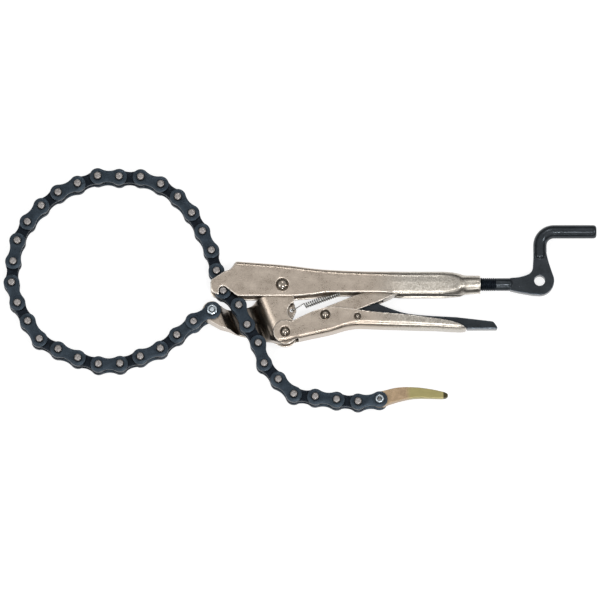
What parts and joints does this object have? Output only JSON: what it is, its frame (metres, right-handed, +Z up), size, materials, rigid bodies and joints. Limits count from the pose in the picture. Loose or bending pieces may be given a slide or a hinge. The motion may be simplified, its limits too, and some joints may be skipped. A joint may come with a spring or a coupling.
{
  "type": "locking chain pliers",
  "caption": "Toggle-locking pliers with a leaf chain hooked in a loop from jaw to nose, a cranked adjusting screw, a release lever and a curved feed spike on the loose chain end.",
  "frame": {"origin": "centre of the underside of the bounding box, the tool lying flat on its side", "axes": "+X along the frame from the chain loop to the crank, +Y from the lower handle to the upper handle, +Z up through the thickness"},
  "size_m": [0.438, 0.1814, 0.0264],
  "materials": {
    "nickel_plate": "satin nickel plate",
    "polished_steel": "polished steel",
    "black_oxide": "black oxide, oiled",
    "forged_black": "forged black oxide",
    "bright_zinc": "bright zinc",
    "yellow_zinc": "yellow zinc",
    "spring_steel": "dark drawn wire"
  },
  "bodies": {
    "frame": {"frame": "nickel_plate", "main_rivet": "polished_steel", "return_spring": "spring_steel"},
    "jaw": {"jaw": "nickel_plate", "handle_rivet": "polished_steel", "anchor_bolt": "bright_zinc", "anchor_nut": "bright_zinc"},
    "lower_handle": {"lower_handle": "nickel_plate", "toggle_rivet": "polished_steel", "lever_rivet": "polished_steel"},
    "toggle_link": {"toggle_link": "nickel_plate"},
    "release_lever": {"release_lever": "forged_black"},
    "adjusting_screw": {"adjusting_screw": "forged_black"},
    "crank_handle": {"crank_handle": "forged_black"},
    "anchor_link": {"anchor_plate_near": "black_oxide", "anchor_plate_far": "black_oxide", "chain_link_02": "black_oxide", "chain_link_03": "black_oxide", "chain_link_04": "black_oxide"},
    "chain_link_05": {"chain_link_05": "black_oxide", "chain_link_06": "black_oxide", "chain_link_07": "black_oxide", "chain_link_08": "black_oxide", "chain_link_09": "black_oxide"},
    "chain_link_10": {"chain_link_10": "black_oxide", "chain_link_11": "black_oxide", "chain_link_12": "black_oxide", "chain_link_13": "black_oxide", "chain_link_14": "black_oxide"},
    "chain_link_15": {"chain_link_15": "black_oxide", "chain_link_16": "black_oxide", "chain_link_17": "black_oxide", "chain_link_18": "black_oxide", "chain_link_19": "black_oxide"},
    "chain_link_20": {"chain_link_20": "black_oxide", "chain_link_21": "black_oxide", "chain_link_22": "black_oxide", "chain_link_23": "black_oxide", "chain_link_24": "black_oxide"},
    "chain_link_25": {"chain_link_25": "black_oxide", "chain_link_26": "black_oxide", "chain_link_27": "black_oxide", "chain_link_28": "black_oxide"},
    "chain_link_29": {"chain_link_29": "black_oxide"},
    "chain_link_30": {"chain_link_30": "black_oxide"},
    "chain_link_31": {"chain_link_31": "black_oxide"},
    "chain_link_32": {"chain_link_32": "black_oxide"},
    "chain_link_33": {"chain_link_33": "black_oxide"},
    "chain_link_34": {"chain_link_34": "black_oxide"},
    "chain_link_35": {"chain_link_35": "black_oxide"},
    "chain_link_36": {"chain_link_36": "black_oxide"},
    "chain_link_37": {"chain_link_37": "black_oxide"},
    "chain_link_38": {"chain_link_38": "black_oxide", "spike_eyelet": "polished_steel"},
    "feed_spike": {"feed_spike": "yellow_zinc"}
  },
  "joints": [
    {"name": "jaw_hinge", "type": "hinge", "parent": "frame", "child": "jaw", "pos_m": [-0.0132, 0.00241, 0.0125], "axis": [0, 0, 1], "range_deg": [0, 8], "deforming": ["return_spring"]},
    {"name": "handle_hinge", "type": "hinge", "parent": "jaw", "child": "lower_handle", "pos_m": [-0.01111, -0.03283, 0.0125], "axis": [0, 0, -1], "range_deg": [0, 35]},
    {"name": "toggle_hinge", "type": "hinge", "parent": "lower_handle", "child": "toggle_link", "pos_m": [0.01851, -0.01995, 0.0125], "axis": [0, 0, 1], "range_deg": [0, 46]},
    {"name": "lever_hinge", "type": "hinge", "parent": "lower_handle", "child": "release_lever", "pos_m": [0.04228, -0.02119, 0.0125], "axis": [0, 0, 1], "range_deg": [0, 10]},
    {"name": "screw_slide", "type": "slide", "parent": "frame", "child": "adjusting_screw", "axis": [1, 0, 0], "range_m": [0, 0.0095]},
    {"name": "crank_turn", "type": "hinge", "parent": "adjusting_screw", "child": "crank_handle", "pos_m": [0.1446, 0.00421, 0.0125], "axis": [1, 0, 0], "range_deg": [0, 2160]},
    {"name": "anchor_link_hinge", "type": "hinge", "parent": "jaw", "child": "anchor_link", "pos_m": [-0.0649, -0.01699, 0.0125], "axis": [0, 0, 1], "range_deg": [-5, 0]},
    {"name": "chain_hinge_05", "type": "hinge", "parent": "anchor_link", "child": "chain_link_05", "pos_m": [-0.11779, -0.05113, 0.0125], "axis": [0, 0, 1], "range_deg": [-3, 0]},
    {"name": "chain_hinge_10", "type": "hinge", "parent": "chain_link_05", "child": "chain_link_10", "pos_m": [-0.19214, -0.03793, 0.0125], "axis": [0, 0, 1], "range_deg": [0, 4]},
    {"name": "chain_hinge_15", "type": "hinge", "parent": "chain_link_10", "child": "chain_link_15", "pos_m": [-0.20884, 0.03594, 0.0125], "axis": [0, 0, 1], "range_deg": [0, 2]},
    {"name": "chain_hinge_20", "type": "hinge", "parent": "chain_link_15", "child": "chain_link_20", "pos_m": [-0.14977, 0.08467, 0.0125], "axis": [0, 0, 1], "range_deg": [-2, 0]},
    {"name": "chain_hinge_25", "type": "hinge", "parent": "chain_link_20", "child": "chain_link_25", "pos_m": [-0.08023, 0.05678, 0.0125], "axis": [0, 0, 1], "range_deg": [-2, 0]},
    {"name": "chain_hinge_29", "type": "hinge", "parent": "chain_link_25", "child": "chain_link_29", "pos_m": [-0.0569, -0.00189, 0.0125], "axis": [0, 0, 1], "range_deg": [-5, 0]},
    {"name": "chain_hinge_30", "type": "hinge", "parent": "chain_link_29", "child": "chain_link_30", "pos_m": [-0.04529, -0.01271, 0.0125], "axis": [0, 0, 1], "range_deg": [0, 8]},
    {"name": "chain_hinge_31", "type": "hinge", "parent": "chain_link_30", "child": "chain_link_31", "pos_m": [-0.03909, -0.02733, 0.0125], "axis": [0, 0, 1], "range_deg": [-7, 0]},
    {"name": "chain_hinge_32", "type": "hinge", "parent": "chain_link_31", "child": "chain_link_32", "pos_m": [-0.03091, -0.04093, 0.0125], "axis": [0, 0, 1], "range_deg": [-31, 0]},
    {"name": "chain_hinge_33", "type": "hinge", "parent": "chain_link_32", "child": "chain_link_33", "pos_m": [-0.02654, -0.05619, 0.0125], "axis": [0, 0, -1], "range_deg": [-12, 25]},
    {"name": "chain_hinge_34", "type": "hinge", "parent": "chain_link_33", "child": "chain_link_34", "pos_m": [-0.01612, -0.06817, 0.0125], "axis": [0, 0, 1], "range_deg": [-25, 12]},
    {"name": "chain_hinge_35", "type": "hinge", "parent": "chain_link_34", "child": "chain_link_35", "pos_m": [-0.0047, -0.0792, 0.0125], "axis": [0, 0, -1], "range_deg": [-12, 25]},
    {"name": "chain_hinge_36", "type": "hinge", "parent": "chain_link_35", "child": "chain_link_36", "pos_m": [0.01106, -0.08114, 0.0125], "axis": [0, 0, 1], "range_deg": [-25, 12]},
    {"name": "chain_hinge_37", "type": "hinge", "parent": "chain_link_36", "child": "chain_link_37", "pos_m": [0.02678, -0.08335, 0.0125], "axis": [0, 0, -1], "range_deg": [-12, 25]},
    {"name": "chain_hinge_38", "type": "hinge", "parent": "chain_link_37", "child": "chain_link_38", "pos_m": [0.04259, -0.08473, 0.0125], "axis": [0, 0, 1], "range_deg": [-25, 12]},
    {"name": "spike_hinge", "type": "hinge", "parent": "chain_link_38", "child": "feed_spike", "pos_m": [0.05838, -0.08307, 0.0125], "axis": [0, 0, -1], "range_deg": [-20, 40]}
  ],
  "couplings": [
    {"joint": "jaw_hinge", "follows": "handle_hinge", "ratio": 0.195},
    {"joint": "toggle_hinge", "follows": "handle_hinge", "ratio": 1.275},
    {"joint": "screw_slide", "follows": "crank_turn", "m_per_rad": 0.00023873},
    {"joint": "anchor_link_hinge", "follows": "handle_hinge", "ratio": -0.1058},
    {"joint": "chain_hinge_05", "follows": "handle_hinge", "ratio": -0.0385},
    {"joint": "chain_hinge_10", "follows": "handle_hinge", "ratio": 0.0711},
    {"joint": "chain_hinge_15", "follows": "handle_hinge", "ratio": 0.0284},
    {"joint": "chain_hinge_20", "follows": "handle_hinge", "ratio": -0.0185},
    {"joint": "chain_hinge_25", "follows": "handle_hinge", "ratio": -0.0212},
    {"joint": "chain_hinge_29", "follows": "handle_hinge", "ratio": -0.1064},
    {"joint": "chain_hinge_30", "follows": "handle_hinge", "ratio": 0.191},
    {"joint": "chain_hinge_31", "follows": "handle_hinge", "ratio": -0.1501},
    {"joint": "chain_hinge_32", "follows": "handle_hinge", "ratio": -0.85}
  ]
}
